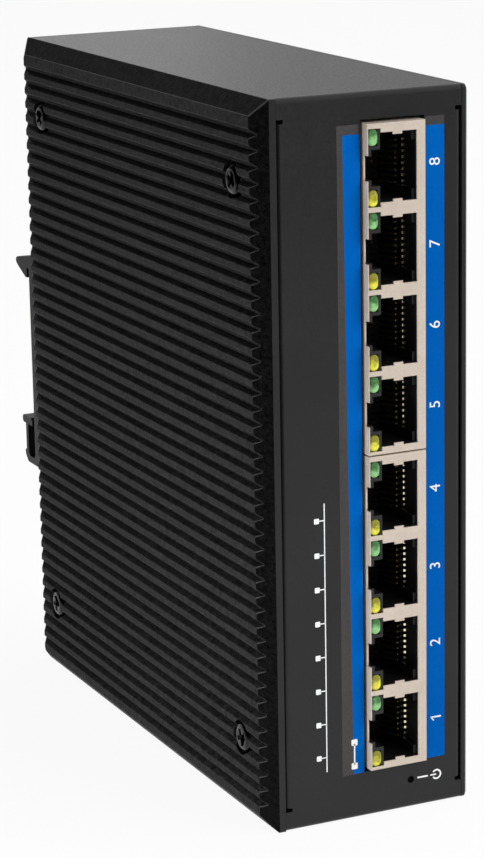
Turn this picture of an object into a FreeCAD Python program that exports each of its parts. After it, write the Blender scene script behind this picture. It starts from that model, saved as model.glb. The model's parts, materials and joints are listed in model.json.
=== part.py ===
"""Eight-port ethernet switch for a 35 mm rail: folded case, finned side plate, two ganged socket blocks.

All sizes are in millimetres. +Z is up, the sockets face -Y and the finned plate is on the -X side.
Pieces are drawn in the case frame: x from the plate's rim, y from the front panel, z from the bottom.
"""
import FreeCAD, Part
import os
import Sketcher

doc = FreeCAD.newDocument("ethernet_switch")
sheet = doc.addObject("Spreadsheet::Sheet", "sizes")


class Size:
    """A length known both as a number and as a spreadsheet expression."""

    def __init__(self, value, text):
        self.value = float(value)
        self.text = text

    def __add__(self, other):
        other = as_size(other)
        return Size(self.value + other.value, "(%s + %s)" % (self.text, other.text))

    def __sub__(self, other):
        other = as_size(other)
        return Size(self.value - other.value, "(%s - %s)" % (self.text, other.text))

    def __mul__(self, factor):
        return Size(self.value * factor, "(%s * %s)" % (self.text, factor))

    def __truediv__(self, factor):
        return Size(self.value / factor, "(%s / %s)" % (self.text, factor))

    def __neg__(self):
        return Size(-self.value, "(0 - %s)" % self.text)

    def __radd__(self, other):
        return as_size(other) + self

    def __rsub__(self, other):
        return as_size(other) - self


def as_size(length):
    """Wrap a plain number as a Size."""
    if isinstance(length, Size):
        return length
    return Size(length, "(%r)" % float(length))


row_count = 0
SAME_PLACE = 1e-4


def size(alias, value, note):
    """Write one driving dimension into the spreadsheet and return it as a Size."""
    global row_count
    row_count += 1
    sheet.set("A%d" % row_count, note)
    sheet.set("B%d" % row_count, str(value))
    sheet.setAlias("B%d" % row_count, alias)
    return Size(value, "sizes." + alias)


# Case
case_width = size("case_width", 37.1, "plate rim to outer face of the flat cover")
case_depth = size("case_depth", 108.4, "front panel to rear wall, outside")
sheet_thick = size("sheet_thick", 1.2, "folded steel")
edge_radius = size("edge_radius", 0.9, "outer radius of the folds along X")
bend_radius = size("bend_radius", 1.1, "outer radius of the side flange folds")
flange_depth = size("flange_depth", 16.0, "side flanges, front to back")
flange_margin = size("flange_margin", 3.5, "plain corner above and below each flange")
relief_gap = size("relief_gap", 0.7, "relief cut at each end of a flange")
relief_reach = size("relief_reach", 1.25, "relief cut, across the panel")

# Finned plate on the left and flat cover on the right
rim_thick = size("rim_thick", 1.3, "rim of the finned plate")
fin_height = size("fin_height", 2.1, "raised field over the rim")
bevel_side = size("bevel_side", 3.4, "border slope at front and rear")
bevel_top = size("bevel_top", 2.9, "border slope at the top")
bevel_low = size("bevel_low", 2.4, "border slope at the bottom")
groove_first = size("groove_first", 5.85, "first groove below the top")
groove_last = size("groove_last", 4.85, "last groove above the bottom")
groove_depth = size("groove_depth", 0.95, "V groove")
groove_width = size("groove_width", 1.5, "V groove at the crest")
groove_floor = size("groove_floor", 0.3, "V groove at its floor")
cover_thick = size("cover_thick", 1.2, "flat cover")
cover_bevel = size("cover_bevel", 0.4, "softened rim of the flat cover")
screw_inset_y = size("screw_inset_y", 10.7, "side screws from front and rear")
screw_inset_z = size("screw_inset_z", 14.5, "side screws from top and bottom")
GROOVES = 44

# Fasteners
thread_dia = size("thread_dia", 3.0, "all screws and their tapped holes")
clear_gap = size("clear_gap", 0.4, "clearance hole over the thread")
head_dia = size("head_dia", 5.6, "screw head")
head_tall = size("head_tall", 1.7, "screw head")
bore_gap = size("bore_gap", 0.6, "sunk seat over the head")
screw_past = size("screw_past", 2.0, "screw tip inside the tapped wall")

# Socket blocks
jack_high = size("jack_high", 11.0, "latch side to circuit board")
jack_proud = size("jack_proud", 1.5, "blocks in front of the panel")
jack_depth = size("jack_depth", 18.5, "blocks, front to back")
gang_low = size("gang_low", 8.87, "lower end of the lower block")
gang_top = size("gang_top", 5.15, "upper block to the top of the case")
gang_ends = size("gang_ends", 0.585, "block length over its port pitches")
port_drop = size("port_drop", 0.16, "ports below the middle of their block")
gang_gap = size("gang_gap", 0.25, "between the blocks")
port_pitch = size("port_pitch", 13.97, "port to port")
port_wide = size("port_wide", 11.7, "port opening along Z")
port_floor = size("port_floor", 1.65, "plastic between plug space and board")
plug_high = size("plug_high", 6.8, "plug space along X")
plug_deep = size("plug_deep", 13.75, "plug space along Y")
latch_wide = size("latch_wide", 6.1, "latch slot along Z")
latch_short = size("latch_short", 2.5, "latch slot ends before the plug space")
latch_lip = size("latch_lip", 0.65, "narrow outer part of the latch slot along X")
latch_neck = size("latch_neck", 4.0, "narrow outer part of the latch slot along Z")
rib_high = size("rib_high", 0.55, "guide ribs on the plug floor along X")
rib_wide = size("rib_wide", 1.75, "guide ribs on the plug floor along Z")
rib_sunk = size("rib_sunk", 0.6, "guide ribs behind the front of the housing")
notch_wide = size("notch_wide", 4.3, "latch notch of the shield along Z")
notch_deep = size("notch_deep", 1.25, "latch notch of the shield along Y")
shield_thick = size("shield_thick", 0.25, "plated shield")
tab_rise = size("tab_rise", 4.6, "spring tabs from the latch edge of the window")
tab_long = size("tab_long", 1.8, "spring tabs along X")
tab_wide = size("tab_wide", 0.45, "spring tabs along Z")
lens_wide = size("lens_wide", 2.9, "indicator along Z")
lens_high = size("lens_high", 1.75, "indicator along X")
lens_out = size("lens_out", 0.7, "indicator beyond the end of its port")
lens_deep = size("lens_deep", 5.75, "indicator inside the housing")
lens_proud = size("lens_proud", 0.12, "indicator in front of the housing")
panel_gap = size("panel_gap", 0.55, "panel cut-out around the blocks")
PORTS = 4

# Spring contacts
contact_pitch = size("contact_pitch", 1.02, "contact to contact")
contact_wide = size("contact_wide", 0.44, "contact along Z")
contact_wire = size("contact_wire", 0.3, "contact thickness")
contact_sunk = size("contact_sunk", 0.2, "leg below the plug floor")
contact_front = size("contact_front", 4.2, "fold behind the front of the housing")
contact_rise = size("contact_rise", 2.6, "spring tip over the plug floor")
fold_inside = size("fold_inside", 1.2, "inner corner of the fold behind its front")
spring_long = size("spring_long", 6.6, "sprung arm along Y")
channel_deep = size("channel_deep", 0.6, "channel under the plug space")
channel_gap = size("channel_gap", 0.5, "channel in front of the fold")
tail_back = size("tail_back", 1.25, "contact tails behind the plug space")
tail_gap = size("tail_gap", 0.15, "play of the tails in their slot")
CONTACTS = 8

# Board and what it carries
board_thick = size("board_thick", 1.6, "circuit board")
board_front = size("board_front", 2.0, "board edge behind the front face")
board_rear = size("board_rear", 13.0, "board edge before the rear face")
board_margin = size("board_margin", 3.5, "board edge from top and bottom")
post_tall = size("post_tall", 6.1, "standoffs between board and flat cover")
post_gap = size("post_gap", 9.0, "standoffs inside the flanges")
post_low = size("post_low", 14.0, "standoffs from top and bottom")
post_across = size("post_across", 5.5, "standoff hexagon, corner to corner")
module_gap = size("module_gap", 12.0, "transformer modules behind the blocks")
module_long = size("module_long", 9.5, "transformer module along Y")
module_wide = size("module_wide", 13.0, "transformer module along Z")
module_tall = size("module_tall", 5.6, "transformer module")
chip_gap = size("chip_gap", 6.0, "switch chip behind the modules")
chip_wide = size("chip_wide", 20.0, "switch chip, square")
chip_tall = size("chip_tall", 1.4, "switch chip")
crystal_gap = size("crystal_gap", 5.0, "crystal above the switch chip")
crystal_long = size("crystal_long", 5.0, "crystal along Y")
crystal_wide = size("crystal_wide", 3.2, "crystal along Z")
crystal_tall = size("crystal_tall", 1.1, "crystal")
coil_wide = size("coil_wide", 10.0, "power inductor, square")
coil_tall = size("coil_tall", 4.6, "power inductor")
coil_gap = size("coil_gap", 5.0, "power inductor above the header")
converter_wide = size("converter_wide", 5.0, "converter chip, square")
converter_tall = size("converter_tall", 1.5, "converter chip")
part_gap = size("part_gap", 2.0, "between the parts of the power supply")
can_dia = size("can_dia", 8.0, "power capacitor")
can_tall = size("can_tall", 12.0, "power capacitor")

# Power indicator
lamp_rise = size("lamp_rise", 2.4, "indicator over the board")
lamp_low = size("lamp_low", 5.25, "indicator from the bottom")
lamp_wide = size("lamp_wide", 3.0, "indicator body, square")
lamp_long = size("lamp_long", 4.0, "indicator body along Y")
lamp_tip_dia = size("lamp_tip_dia", 1.1, "indicator tip")
lamp_play = size("lamp_play", 0.2, "panel hole over the tip")
lamp_sunk = size("lamp_sunk", 0.35, "tip behind the front face")

# Power header in the bottom wall
header_front = size("header_front", 38.0, "header from the front face")
header_long = size("header_long", 22.4, "header along Y")
header_high = size("header_high", 8.4, "header along X")
header_deep = size("header_deep", 12.0, "header along Z")
header_wall = size("header_wall", 1.0, "header walls")
header_floor = size("header_floor", 3.6, "header behind its plug space")
header_sunk = size("header_sunk", 0.3, "header above the bottom face")
header_gap = size("header_gap", 0.3, "bottom cut-out around the header")
pin_pitch = size("pin_pitch", 5.08, "header pins")
pin_thick = size("pin_thick", 1.0, "header pins")
pin_sunk = size("pin_sunk", 2.3, "pin tips inside the mouth of the header")
pin_turn = size("pin_turn", 1.9, "pin bend from the back of the header")
PINS = 4

# Rail clip
clip_inset = size("clip_inset", 0.2, "clip ends from the case sides")
clip_low = size("clip_low", 39.5, "foot of the clip from the bottom")
clip_plate = size("clip_plate", 4.1, "clip plate")
clip_reach = size("clip_reach", 11.3, "hook behind the rear wall")
clip_soft = size("clip_soft", 0.7, "softened corners of the clip")
clip_screw_gap = size("clip_screw_gap", 8.8, "clip screws from the rail's edges")
rail_slot = size("rail_slot", 1.2, "slot for the rail's edge")
rail_wide = size("rail_wide", 35.2, "slot end to the seat of the lower rail edge")
hook_rise = size("hook_rise", 3.3, "hook above the slot")
hook_tip = size("hook_tip", 0.8, "hook tip above the slot")
hook_drop = size("hook_drop", 2.0, "hook lip over the rail's edge")
foot_rise = size("foot_rise", 5.7, "seat of the lower rail edge above the foot")
foot_floor = size("foot_floor", 1.4, "web of the foot")
nose_rise = size("nose_rise", 9.6, "top of the sprung nose above the foot")
nose_tall = size("nose_tall", 1.6, "sprung nose")
leg_gap = size("leg_gap", 2.4, "sprung leg behind the rail slot")
leg_thick = size("leg_thick", 1.2, "sprung leg")
pull_rise = size("pull_rise", 2.5, "top of the pull edge above the foot")
doc.recompute()

# Sizes that follow from others, and planes of the case frame
gang_long = port_pitch * PORTS + gang_ends
gang_pitch = gang_long + gang_gap
case_height = gang_low + gang_pitch + gang_long + gang_top
clear_dia = thread_dia + clear_gap
bore_dia = head_dia + bore_gap
cover_in = case_width - cover_thick
board_x = cover_in - post_tall - board_thick
board_end = case_depth - board_rear
jack_left = board_x - jack_high
port_high = jack_high - shield_thick - port_floor
module_back = jack_depth - jack_proud + module_gap + module_long
lower_seat = clip_low + foot_rise
rail_top = lower_seat + rail_wide
origin_x = (fin_height - case_width) / 2
origin_y = (jack_proud - case_depth - clip_reach) / 2


def bind(item, path, length):
    """Tie a property of an object to the spreadsheet."""
    item.setExpression(path, as_size(length).text)


def new_body(label):
    """Start one piece of the switch."""
    body = doc.addObject("PartDesign::Body", label)
    body.Label = label
    body.AllowCompound = True
    bind(body, "Placement.Base.x", origin_x)
    bind(body, "Placement.Base.y", origin_y)
    return body


def origin_of(body, role):
    """Return an axis or plane of a body's origin."""
    return [item for item in body.Origin.OriginFeatures if item.Role == role][0]


def new_sketch(body, plane, offset):
    """Attach an empty sketch to an origin plane, moved by an offset in the plane's own axes."""
    sketch = body.newObject("Sketcher::SketchObject", "profile")
    sketch.AttachmentSupport = (origin_of(body, plane + "_Plane"), [""])
    sketch.MapMode = "FlatFace"
    for axis, length in zip("xyz", offset):
        bind(sketch, "AttachmentOffset.Base." + axis, length)
    return sketch


def fix_point(sketch, line, point, place):
    """Tie one sketch point to its two coordinates."""
    for kind, length in zip(("DistanceX", "DistanceY"), place):
        length = as_size(length)
        number = sketch.addConstraint(Sketcher.Constraint(kind, line, point, length.value))
        sketch.setExpression("Constraints[%d]" % number, length.text)


def draw_ring(sketch, ring):
    """Draw a closed polygon with every corner tied to the spreadsheet."""
    first = sketch.GeometryCount
    corners = [FreeCAD.Vector(as_size(u).value, as_size(v).value, 0) for u, v in ring]
    total = len(ring)
    for i in range(total):
        sketch.addGeometry(Part.LineSegment(corners[i], corners[(i + 1) % total]), False)
    for i in range(total):
        sketch.addConstraint(Sketcher.Constraint("Coincident", first + i, 2, first + (i + 1) % total, 1))
    for i in range(total):
        fix_point(sketch, first + i, 1, ring[i])


def draw_circle(sketch, centre, diameter):
    """Draw a circle tied to the spreadsheet."""
    middle = FreeCAD.Vector(as_size(centre[0]).value, as_size(centre[1]).value, 0)
    radius = as_size(diameter) / 2
    line = sketch.addGeometry(Part.Circle(middle, FreeCAD.Vector(0, 0, 1), radius.value), False)
    number = sketch.addConstraint(Sketcher.Constraint("Radius", line, radius.value))
    sketch.setExpression("Constraints[%d]" % number, radius.text)
    fix_point(sketch, line, 3, centre)


def box_ring(u0, u1, v0, v1):
    """Return a rectangle's four corners."""
    return [(u0, v0), (u1, v0), (u1, v1), (u0, v1)]


def extrude(body, kind, plane, start, end, rings=(), circles=()):
    """Pad or pocket outlines on a plane from start to end along the plane's axis, towards its + side."""
    start, end = as_size(start), as_size(end)
    shift = -start if plane == "XZ" else start
    sketch = new_sketch(body, plane, (0, 0, shift))
    for ring in rings:
        draw_ring(sketch, ring)
    for centre, diameter in circles:
        draw_circle(sketch, centre, diameter)
    feature = body.newObject("PartDesign::" + kind, kind.lower())
    feature.Profile = sketch
    feature.Reversed = (kind == "Pad") == (plane == "XZ")
    bind(feature, "Length", end - start)
    body.Tip = feature
    return feature


def pad(body, plane, start, end, *rings):
    """Add material."""
    return extrude(body, "Pad", plane, start, end, rings)


def pocket(body, plane, start, end, *rings):
    """Cut material."""
    return extrude(body, "Pocket", plane, start, end, rings)


def drill(body, plane, start, end, *circles):
    """Cut round holes given as (centre, diameter)."""
    return extrude(body, "Pocket", plane, start, end, (), circles)


def turn(body, axis, centre, ring, cut=False):
    """Revolve an outline of (along, radius) about a line parallel to X or Y through a centre."""
    first, second = centre
    if axis == "X":
        sketch = new_sketch(body, "XY", (0, first, second))
        draw_ring(sketch, ring)
    else:
        sketch = new_sketch(body, "XY", (first, 0, second))
        draw_ring(sketch, [(radius, along) for along, radius in ring])
    feature = body.newObject("PartDesign::Groove" if cut else "PartDesign::Revolution", "turned")
    feature.Profile = sketch
    feature.ReferenceAxis = (sketch, ["H_Axis" if axis == "X" else "V_Axis"])
    feature.Angle = 360
    body.Tip = feature
    return feature


def repeat(body, features, axis, step, count):
    """Repeat features along an axis of the body."""
    pattern = body.newObject("PartDesign::LinearPattern", "pattern")
    pattern.Originals = features
    pattern.Direction = (origin_of(body, axis + "_Axis"), [""])
    bind(pattern, "Length", step * (count - 1))
    pattern.Occurrences = count
    body.Tip = pattern
    return pattern


def soften(body, kind, measure, wanted):
    """Round or bevel the edges of the body so far whose two ends pass a test in the case frame."""
    doc.recompute()
    base = body.Tip
    names = []
    for number, edge in enumerate(base.Shape.Edges, 1):
        ends = [vertex.Point for vertex in edge.Vertexes]
        if len(ends) == 2 and wanted(ends[0], ends[1]):
            names.append("Edge%d" % number)
    feature = body.newObject("PartDesign::" + kind, kind.lower())
    feature.Base = (base, names)
    bind(feature, "Radius" if kind == "Fillet" else "Size", measure)
    body.Tip = feature
    return feature


def near(value, length):
    """Tell whether a coordinate lies on a plane of the model."""
    return abs(value - as_size(length).value) < SAME_PLACE


HEXAGON_FLAT = 3 ** 0.5 / 2

# Places of the repeated things
side_screws = [(y, z) for y in (screw_inset_y, case_depth - screw_inset_y)
               for z in (screw_inset_z, case_height - screw_inset_z)]
posts = [(y, z) for y in (flange_depth + post_gap, case_depth - flange_depth - post_gap)
         for z in (post_low, case_height - post_low)]
clip_middle = case_width / 2
clip_screws = [(clip_middle, lower_seat + clip_screw_gap), (clip_middle, rail_top - clip_screw_gap)]
lamp_place = (board_x - lamp_rise, lamp_low)


def first_port(low):
    """Return the height of the lowest port of a block."""
    return low + gang_long / 2 - port_drop - port_pitch * ((PORTS - 1) / 2)


def build_case():
    """Fold the front, top, rear and bottom walls with their side flanges."""
    body = new_body("case_shell")
    left, right = rim_thick, cover_in
    pad(body, "YZ", left, right, box_ring(0, case_depth, 0, case_height))

    def long_edge(a, b):
        return near(a.y, b.y) and near(a.z, b.z)
    soften(body, "Fillet", edge_radius, long_edge)
    pocket(body, "YZ", left, right,
           box_ring(sheet_thick, case_depth - sheet_thick, sheet_thick, case_height - sheet_thick))
    low, high = flange_margin, case_height - flange_margin
    for x0, x1 in ((left, left + sheet_thick), (right - sheet_thick, right)):
        pad(body, "XY", low, high, box_ring(x0, x1, sheet_thick / 2, flange_depth))
        pad(body, "XY", low, high, box_ring(x0, x1, case_depth - flange_depth, case_depth - sheet_thick / 2))
    reach = sheet_thick + relief_reach
    for x0, x1 in ((left, left + relief_reach), (right - relief_reach, right)):
        for z0 in (low, high - relief_gap):
            pocket(body, "XY", z0, z0 + relief_gap, box_ring(x0, x1, 0, reach))
            pocket(body, "XY", z0, z0 + relief_gap, box_ring(x0, x1, case_depth - reach, case_depth))

    def fold_edge(a, b):
        upright = near(a.x, b.x) and near(a.y, b.y)
        tall = abs(a.z - b.z) > case_height.value / 2
        at_side = near(a.x, left) or near(a.x, right)
        at_face = near(a.y, 0) or near(a.y, case_depth)
        return upright and tall and at_side and at_face
    soften(body, "Fillet", bend_radius, fold_edge)

    block_top = case_height - gang_top
    pocket(body, "XZ", 0, sheet_thick,
           box_ring(jack_left - panel_gap, board_x + panel_gap, gang_low - panel_gap, block_top + panel_gap))
    drill(body, "XZ", 0, sheet_thick, (lamp_place, lamp_tip_dia + lamp_play))
    pocket(body, "XY", 0, sheet_thick,
           box_ring(board_x - header_high - header_gap, board_x + header_gap,
                    header_front - header_gap, header_front + header_long + header_gap))
    tapped_rear = [(place, thread_dia) for place in clip_screws]
    drill(body, "XZ", case_depth - sheet_thick, case_depth, *tapped_rear)
    tapped_sides = [(place, thread_dia) for place in side_screws]
    drill(body, "YZ", left, left + sheet_thick, *tapped_sides)
    drill(body, "YZ", right - sheet_thick, right, *tapped_sides)
    return body


def build_finned_plate():
    """Raise a bevelled field over the rim, ploughed with grooves that run out in the border slopes."""
    body = new_body("finned_side_plate")
    crest = -fin_height
    pad(body, "YZ", crest, rim_thick, box_ring(0, case_depth, 0, case_height))
    pocket(body, "XZ", 0, case_depth,
           [(0, case_height), (crest, case_height), (crest, case_height - bevel_top)],
           [(0, 0), (crest, bevel_low), (crest, 0)])
    pocket(body, "XY", 0, case_height,
           [(0, 0), (crest, 0), (crest, bevel_side)],
           [(0, case_depth), (crest, case_depth - bevel_side), (crest, case_depth)])
    half, floor = groove_width / 2, groove_floor / 2
    deep = crest + groove_depth
    middle = groove_last
    groove = pocket(body, "XZ", 0, case_depth,
                    [(crest, middle - half), (deep, middle - floor),
                     (deep, middle + floor), (crest, middle + half)])
    step = (case_height - groove_first - groove_last) / (GROOVES - 1)
    repeat(body, [groove], "Z", step, GROOVES)
    drill(body, "YZ", crest, crest + head_tall, *[(place, bore_dia) for place in side_screws])
    drill(body, "YZ", crest + head_tall, rim_thick, *[(place, clear_dia) for place in side_screws])
    return body


def build_flat_cover():
    """Cut the plain right cover with countersunk holes."""
    body = new_body("flat_side_cover")
    pad(body, "YZ", cover_in, case_width, box_ring(0, case_depth, 0, case_height))

    def outer_rim(a, b):
        return near(a.x, case_width) and near(b.x, case_width)
    soften(body, "Chamfer", cover_bevel, outer_rim)
    seat = [(cover_in, 0), (case_width, 0), (case_width, head_dia / 2), (cover_in, thread_dia / 2)]
    for place in side_screws:
        turn(body, "X", place, seat, cut=True)
    return body


def pan_head_screws(label, axis, places, seat, tip, sign):
    """Turn a set of pan-head screws; the head stands off the seat against the screw's direction."""
    body = new_body(label)
    top = as_size(seat) - head_tall * sign
    shaft, head = thread_dia / 2, head_dia / 2
    for place in places:
        turn(body, axis, place, [(top, 0), (top, head), (seat, head), (seat, shaft), (tip, shaft), (tip, 0)])
    return body


def flat_head_screws(label, places, face, depth, tip):
    """Turn a set of countersunk screws along X whose heads end flush with a face."""
    body = new_body(label)
    shaft, head = thread_dia / 2, head_dia / 2
    for place in places:
        turn(body, "X", place, [(face, 0), (face, head), (depth, shaft), (tip, shaft), (tip, 0)])
    return body


def build_shield(label, low):
    """Fold the plated shell of one block; each window leaves two spring tabs and opens to the indicators."""
    body = new_body(label)
    front, back = -jack_proud, jack_depth - jack_proud
    left, right = jack_left, board_x
    skin = shield_thick
    pad(body, "XY", low, low + gang_long, box_ring(left, right, front, back))
    pocket(body, "XY", low + skin, low + gang_long - skin,
           box_ring(left + skin, right, front + skin, back - skin))
    middle = first_port(low)
    z0, z1 = middle - port_wide / 2, middle + port_wide / 2
    x0, x2 = left + skin, left + skin + port_high
    x1 = x2 - plug_high
    tab0 = x0 + tab_rise
    tab1 = tab0 + tab_long
    outline = [
        (x0, z0 - lens_out), (x1, z0 - lens_out), (x1, z0), (tab0, z0), (tab0, z0 + tab_wide),
        (tab1, z0 + tab_wide), (tab1, z0), (x2, z0), (x2, z1), (tab1, z1), (tab1, z1 - tab_wide),
        (tab0, z1 - tab_wide), (tab0, z1), (x1, z1), (x1, z1 + lens_out), (x0, z1 + lens_out),
    ]
    window = pocket(body, "XZ", front, front + skin, outline)
    notch = pocket(body, "YZ", left, left + skin,
                   box_ring(front, front + notch_deep, middle - notch_wide / 2, middle + notch_wide / 2))
    repeat(body, [window, notch], "Z", port_pitch, PORTS)
    return body


def build_housing(label, low):
    """Mould the plastic body of one block: plug spaces, latch slots, indicator seats and contact channels."""
    body = new_body(label)
    skin = shield_thick
    front, back = skin - jack_proud, jack_depth - jack_proud - skin
    left, right = jack_left + skin, board_x
    pad(body, "XY", low + skin, low + gang_long - skin, box_ring(left, right, front, back))
    middle = first_port(low)
    z0, z1 = middle - port_wide / 2, middle + port_wide / 2
    floor = left + port_high
    plug_end = front + plug_deep
    roof, rib = floor - plug_high, floor - rib_high
    mouth = pocket(body, "XZ", front, front + rib_sunk, box_ring(roof, floor, z0, z1))
    plug = pocket(body, "XZ", front + rib_sunk, plug_end,
                  [(roof, z0), (rib, z0), (rib, z0 + rib_wide), (floor, z0 + rib_wide),
                   (floor, z1 - rib_wide), (rib, z1 - rib_wide), (rib, z1), (roof, z1)])
    lip, neck, wide = left + latch_lip, latch_neck / 2, latch_wide / 2
    latch = pocket(body, "XZ", front, plug_end - latch_short,
                   [(left, middle - neck), (lip, middle - neck), (lip, middle - wide), (roof, middle - wide),
                    (roof, middle + wide), (lip, middle + wide), (lip, middle + neck), (left, middle + neck)])
    lens_top, low_end, high_end = left + lens_high, z0 - lens_out, z1 + lens_out
    seats = pocket(body, "XZ", front, front + lens_deep,
                   box_ring(left, lens_top, low_end, low_end + lens_wide),
                   box_ring(left, lens_top, high_end - lens_wide, high_end))
    half = contact_pitch * (CONTACTS / 2)
    tail = plug_end + tail_back
    slot_end = tail + contact_wire + tail_gap
    channel = pocket(body, "XY", middle - half, middle + half,
                     box_ring(floor, floor + channel_deep, front + contact_front - channel_gap, slot_end))
    slot = pocket(body, "XY", middle - half, middle + half,
                  box_ring(floor + channel_deep, right, tail - tail_gap, slot_end))
    repeat(body, [mouth, plug, latch, seats, channel, slot], "Z", port_pitch, PORTS)
    return body


def build_contacts(label, low):
    """Bend the contacts of one block: tail on the board, leg in the channel, spring into the plug space."""
    body = new_body(label)
    front = shield_thick - jack_proud
    floor = board_x - port_floor
    tail = front + plug_deep + tail_back
    leg = floor + contact_sunk
    fold = front + contact_front
    tip = floor - contact_rise
    wire = contact_wire
    arm_end = fold + spring_long
    outline = [(board_x, tail + wire), (leg, tail + wire), (leg, fold + fold_inside), (tip + wire, arm_end),
               (tip, arm_end), (leg + wire, fold), (leg + wire, tail), (board_x, tail)]
    middle = first_port(low)
    wires = []
    for i in range(CONTACTS):
        centre = middle + contact_pitch * (i - (CONTACTS - 1) / 2)
        wires.append(pad(body, "XY", centre - contact_wide / 2, centre + contact_wide / 2, outline))
    repeat(body, wires, "Z", port_pitch, PORTS)
    return body


def build_lenses(label, upper):
    """Set one colour of indicator in every port: green at the upper latch corner, yellow at the lower."""
    body = new_body(label)
    front = shield_thick - jack_proud
    left = jack_left + shield_thick
    for low in (gang_low, gang_low + gang_pitch):
        middle = first_port(low)
        reach = port_wide / 2 + lens_out
        edge = middle + reach - lens_wide if upper else middle - reach
        lens = pad(body, "XZ", front - lens_proud, front + lens_deep,
                   box_ring(left, left + lens_high, edge, edge + lens_wide))
        repeat(body, [lens], "Z", port_pitch, PORTS)
    return body


def build_board():
    """Cut the circuit board."""
    body = new_body("circuit_board")
    pad(body, "YZ", board_x, board_x + board_thick,
        box_ring(board_front, board_end, board_margin, case_height - board_margin))
    return body


def build_posts():
    """Stand four hexagonal posts between the board and the flat cover."""
    body = new_body("board_standoffs")
    corner = post_across / 2
    flat = corner * HEXAGON_FLAT
    rings = []
    for y, z in posts:
        rings.append([(y + corner, z), (y + corner / 2, z + flat), (y - corner / 2, z + flat),
                      (y - corner, z), (y - corner / 2, z - flat), (y + corner / 2, z - flat)])
    pad(body, "YZ", board_x + board_thick, cover_in, *rings)
    return body


def board_blocks(label, tall, *rings):
    """Mount plain packages of one height on the board."""
    body = new_body(label)
    pad(body, "YZ", board_x - tall, board_x, *rings)
    return body


def build_board_parts():
    """Fill the board with what the switch needs to work."""
    centre = case_height / 2
    chip_y = module_back + chip_gap
    chip_end = chip_y + chip_wide
    chip_top = centre + chip_wide / 2
    chip = board_blocks("switch_chip", chip_tall,
                        box_ring(chip_y, chip_end, centre - chip_wide / 2, chip_top))
    crystal_low = chip_top + crystal_gap
    crystal = board_blocks("clock_crystal", crystal_tall,
                           box_ring(chip_y, chip_y + crystal_long, crystal_low, crystal_low + crystal_wide))
    rings = []
    for low in (gang_low, gang_low + gang_pitch):
        for shift in (-port_pitch, port_pitch):
            middle = low + gang_long / 2 + shift
            rings.append(box_ring(module_back - module_long, module_back,
                                  middle - module_wide / 2, middle + module_wide / 2))
    modules = board_blocks("transformer_modules", module_tall, *rings)
    coil_y = header_front + header_long
    coil_low = header_sunk + header_deep + coil_gap
    coil_top = coil_low + coil_wide
    inductor = board_blocks("power_inductor", coil_tall,
                            box_ring(coil_y, coil_y + coil_wide, coil_low, coil_top))
    converter_y = coil_y - part_gap - converter_wide
    converter = board_blocks("converter_chip", converter_tall,
                             box_ring(converter_y, converter_y + converter_wide,
                                      coil_low, coil_low + converter_wide))
    can = new_body("power_capacitor")
    can_place = (coil_y + coil_wide / 2, coil_top + part_gap + can_dia / 2)
    extrude(can, "Pad", "YZ", board_x - can_tall, board_x, (), [(can_place, can_dia)])
    return [chip, crystal, modules, converter, inductor, can]


def build_lamp():
    """Set the power indicator on the board with its tip in the panel hole."""
    body = new_body("power_indicator")
    x, z = lamp_place
    half = lamp_wide / 2
    pad(body, "XZ", board_front, board_front + lamp_long, box_ring(x - half, board_x, z - half, z + half))
    extrude(body, "Pad", "XZ", lamp_sunk, board_front, (), [(lamp_place, lamp_tip_dia)])
    return body


def pin_ring():
    """Outline of one right-angle header pin in the XZ plane."""
    x = board_x - header_high / 2
    half = pin_thick / 2
    low = header_sunk + pin_sunk
    bend = header_sunk + header_deep - pin_turn
    return [(x - half, low), (x + half, low), (x + half, bend - half), (board_x, bend - half),
            (board_x, bend + half), (x - half, bend + half)]


def build_header():
    """Mould the pluggable power header and bend its pins."""
    low, top = header_sunk, header_sunk + header_deep
    y0, y1 = header_front, header_front + header_long
    x0, x1 = board_x - header_high, board_x
    first = (y0 + y1) / 2 - pin_pitch * ((PINS - 1) / 2) - pin_thick / 2
    header = new_body("power_header")
    pad(header, "XY", low, top, box_ring(x0, x1, y0, y1))
    pocket(header, "XY", low, top - header_floor,
           box_ring(x0 + header_wall, x1 - header_wall, y0 + header_wall, y1 - header_wall))
    hole = pocket(header, "XZ", first, first + pin_thick, pin_ring())
    repeat(header, [hole], "Y", pin_pitch, PINS)
    pins = new_body("power_pins")
    pin = pad(pins, "XZ", first, first + pin_thick, pin_ring())
    repeat(pins, [pin], "Y", pin_pitch, PINS)
    return [header, pins]


def build_clip():
    """Extrude the rail clip: plate, rigid hook above, sprung foot below."""
    body = new_body("rail_clip")
    rear = case_depth
    face = rear + clip_plate
    lip = face + rail_slot
    tip = rear + clip_reach
    low = clip_low
    nose = low + nose_rise
    under = nose - nose_tall
    web = low + foot_floor
    leg0 = lip + leg_gap
    leg1 = leg0 + leg_thick
    pull = low + pull_rise
    soft = clip_soft
    outline = [
        (rear, low + soft), (rear, rail_top + hook_rise), (tip - soft, rail_top + hook_tip + soft),
        (tip, rail_top + hook_tip), (tip - soft, rail_top), (lip + soft, rail_top - hook_drop),
        (lip, rail_top - hook_drop), (lip, rail_top), (face, rail_top), (face, web + soft),
        (face + soft, web), (leg0 - soft, web), (leg0, web + soft), (leg0, under), (lip, under),
        (lip, nose - soft), (lip + soft, nose), (tip - soft, nose), (tip - soft, under), (leg1, under),
        (leg1, pull), (leg1 + soft, pull),
        (leg1 + soft, web), (leg1, low + soft), (leg1 - soft, low), (rear + soft, low),
    ]
    pad(body, "YZ", clip_inset, case_width - clip_inset, outline)
    sunk = face - head_tall
    drill(body, "XZ", sunk, face, *[(place, bore_dia) for place in clip_screws])
    drill(body, "XZ", rear, sunk, *[(place, clear_dia) for place in clip_screws])
    return body


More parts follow.
